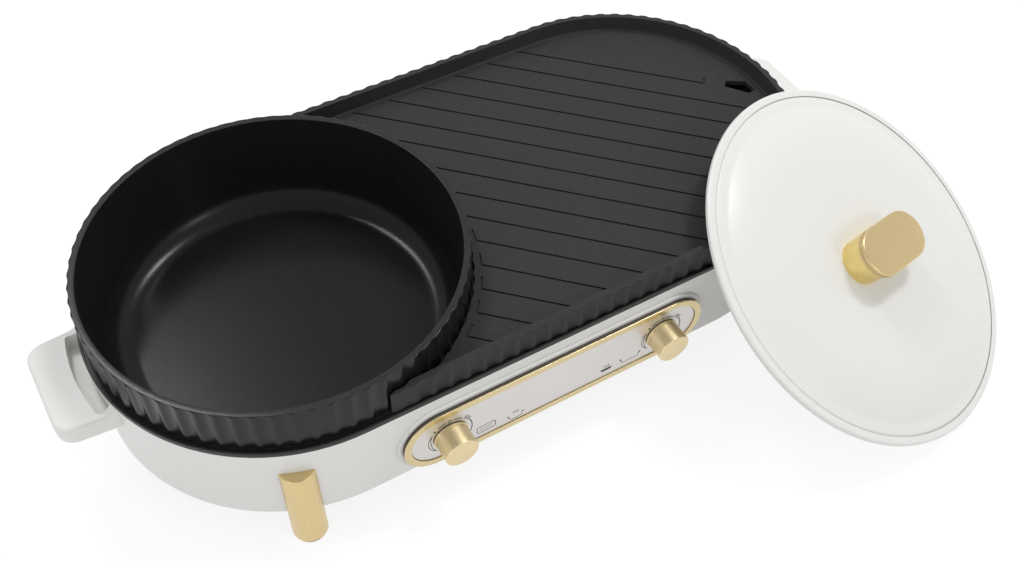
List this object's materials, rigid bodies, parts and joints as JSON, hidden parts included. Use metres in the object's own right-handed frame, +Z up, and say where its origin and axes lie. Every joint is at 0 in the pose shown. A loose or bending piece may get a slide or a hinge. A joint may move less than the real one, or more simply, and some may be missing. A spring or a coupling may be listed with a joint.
{
  "type": "electric hot pot with grill plate and lid",
  "caption": "Countertop cooker: a round fluted hot pot and a fluted grill plate on a heated oval base with half-round legs, control panel, end handles and a loose domed lid.",
  "frame": {"origin": "bottom centre of the whole set's bounding box, on the table", "axes": "+Z up, +X from the pot to the grill plate along the base, -Y towards the control panel"},
  "size_m": [0.6854, 0.4258, 0.1507],
  "materials": {
    "casing": "white satin plastic",
    "lid_enamel": "white gloss enamel",
    "pan_coating": "black non-stick coating, fine grain",
    "deck": "black satin paint",
    "gold": "satin champagne gold anodised",
    "panel": "pale satin plate",
    "bright_steel": "plain sheet steel",
    "heater_sheath": "dark oxidised sheath",
    "bare_metal": "plain brass",
    "dark_plastic": "dark heat-resistant plastic",
    "ceramic": "pale heat-resistant plastic",
    "pad": "soft grey rubber",
    "screws": "zinc plated"
  },
  "bodies": {
    "base": {"base_shell": "casing", "bottom_cover": "dark_plastic", "bottom_cover_screws": "screws", "deck_frame": "deck", "drip_cup": "deck", "foot_pad_front_left": "pad", "foot_pad_front_right": "pad", "foot_pad_rear_left": "pad", "foot_pad_rear_right": "pad", "grill_heater": "heater_sheath", "grill_heater_clips": "bright_steel", "grill_reflector": "bright_steel", "grill_sensor": "bare_metal", "handle_screws": "screws", "inlet_pins": "bare_metal", "left_handle": "casing", "leg_front_left": "gold", "leg_front_right": "gold", "leg_rear_left": "gold", "leg_rear_right": "gold", "leg_screws": "screws", "panel_bezel": "gold", "panel_plate": "panel", "panel_seal": "dark_plastic", "pot_heater": "heater_sheath", "pot_heater_clips": "bright_steel", "pot_reflector": "bright_steel", "pot_sensor": "bare_metal", "power_inlet": "dark_plastic", "right_handle": "casing", "terminal_block": "ceramic", "thermal_fuses": "ceramic", "thermostat_left": "dark_plastic", "thermostat_right": "dark_plastic"},
    "pot": {"pot": "pan_coating"},
    "grill_plate": {"grill_plate": "pan_coating"},
    "lid": {"lid_shell": "lid_enamel", "lid_knob_neck": "gold", "lid_knob_cap": "gold", "lid_knob_screw": "screws", "lid_knob_washer": "bright_steel"},
    "knob_left": {"knob_left": "gold", "thermostat_shaft_left": "bare_metal"},
    "knob_right": {"knob_right": "gold", "thermostat_shaft_right": "bare_metal"}
  },
  "joints": [
    {"name": "pot_lift", "type": "slide", "parent": "base", "child": "pot", "axis": [0, 0, 1], "range_m": [0, 0.1]},
    {"name": "grill_plate_lift", "type": "slide", "parent": "base", "child": "grill_plate", "axis": [0, 0, 1], "range_m": [0, 0.1]},
    {"name": "lid_lift", "type": "slide", "parent": "grill_plate", "child": "lid", "axis": [0, 0, 1], "range_m": [0, 0.15]},
    {"name": "knob_left_turn", "type": "hinge", "parent": "base", "child": "knob_left", "pos_m": [-0.11949, -0.06323, 0.062], "axis": [0, 1, 0], "range_deg": [0, 270]},
    {"name": "knob_right_turn", "type": "hinge", "parent": "base", "child": "knob_right", "pos_m": [0.05051, -0.06323, 0.062], "axis": [0, 1, 0], "range_deg": [0, 270]}
  ]
}
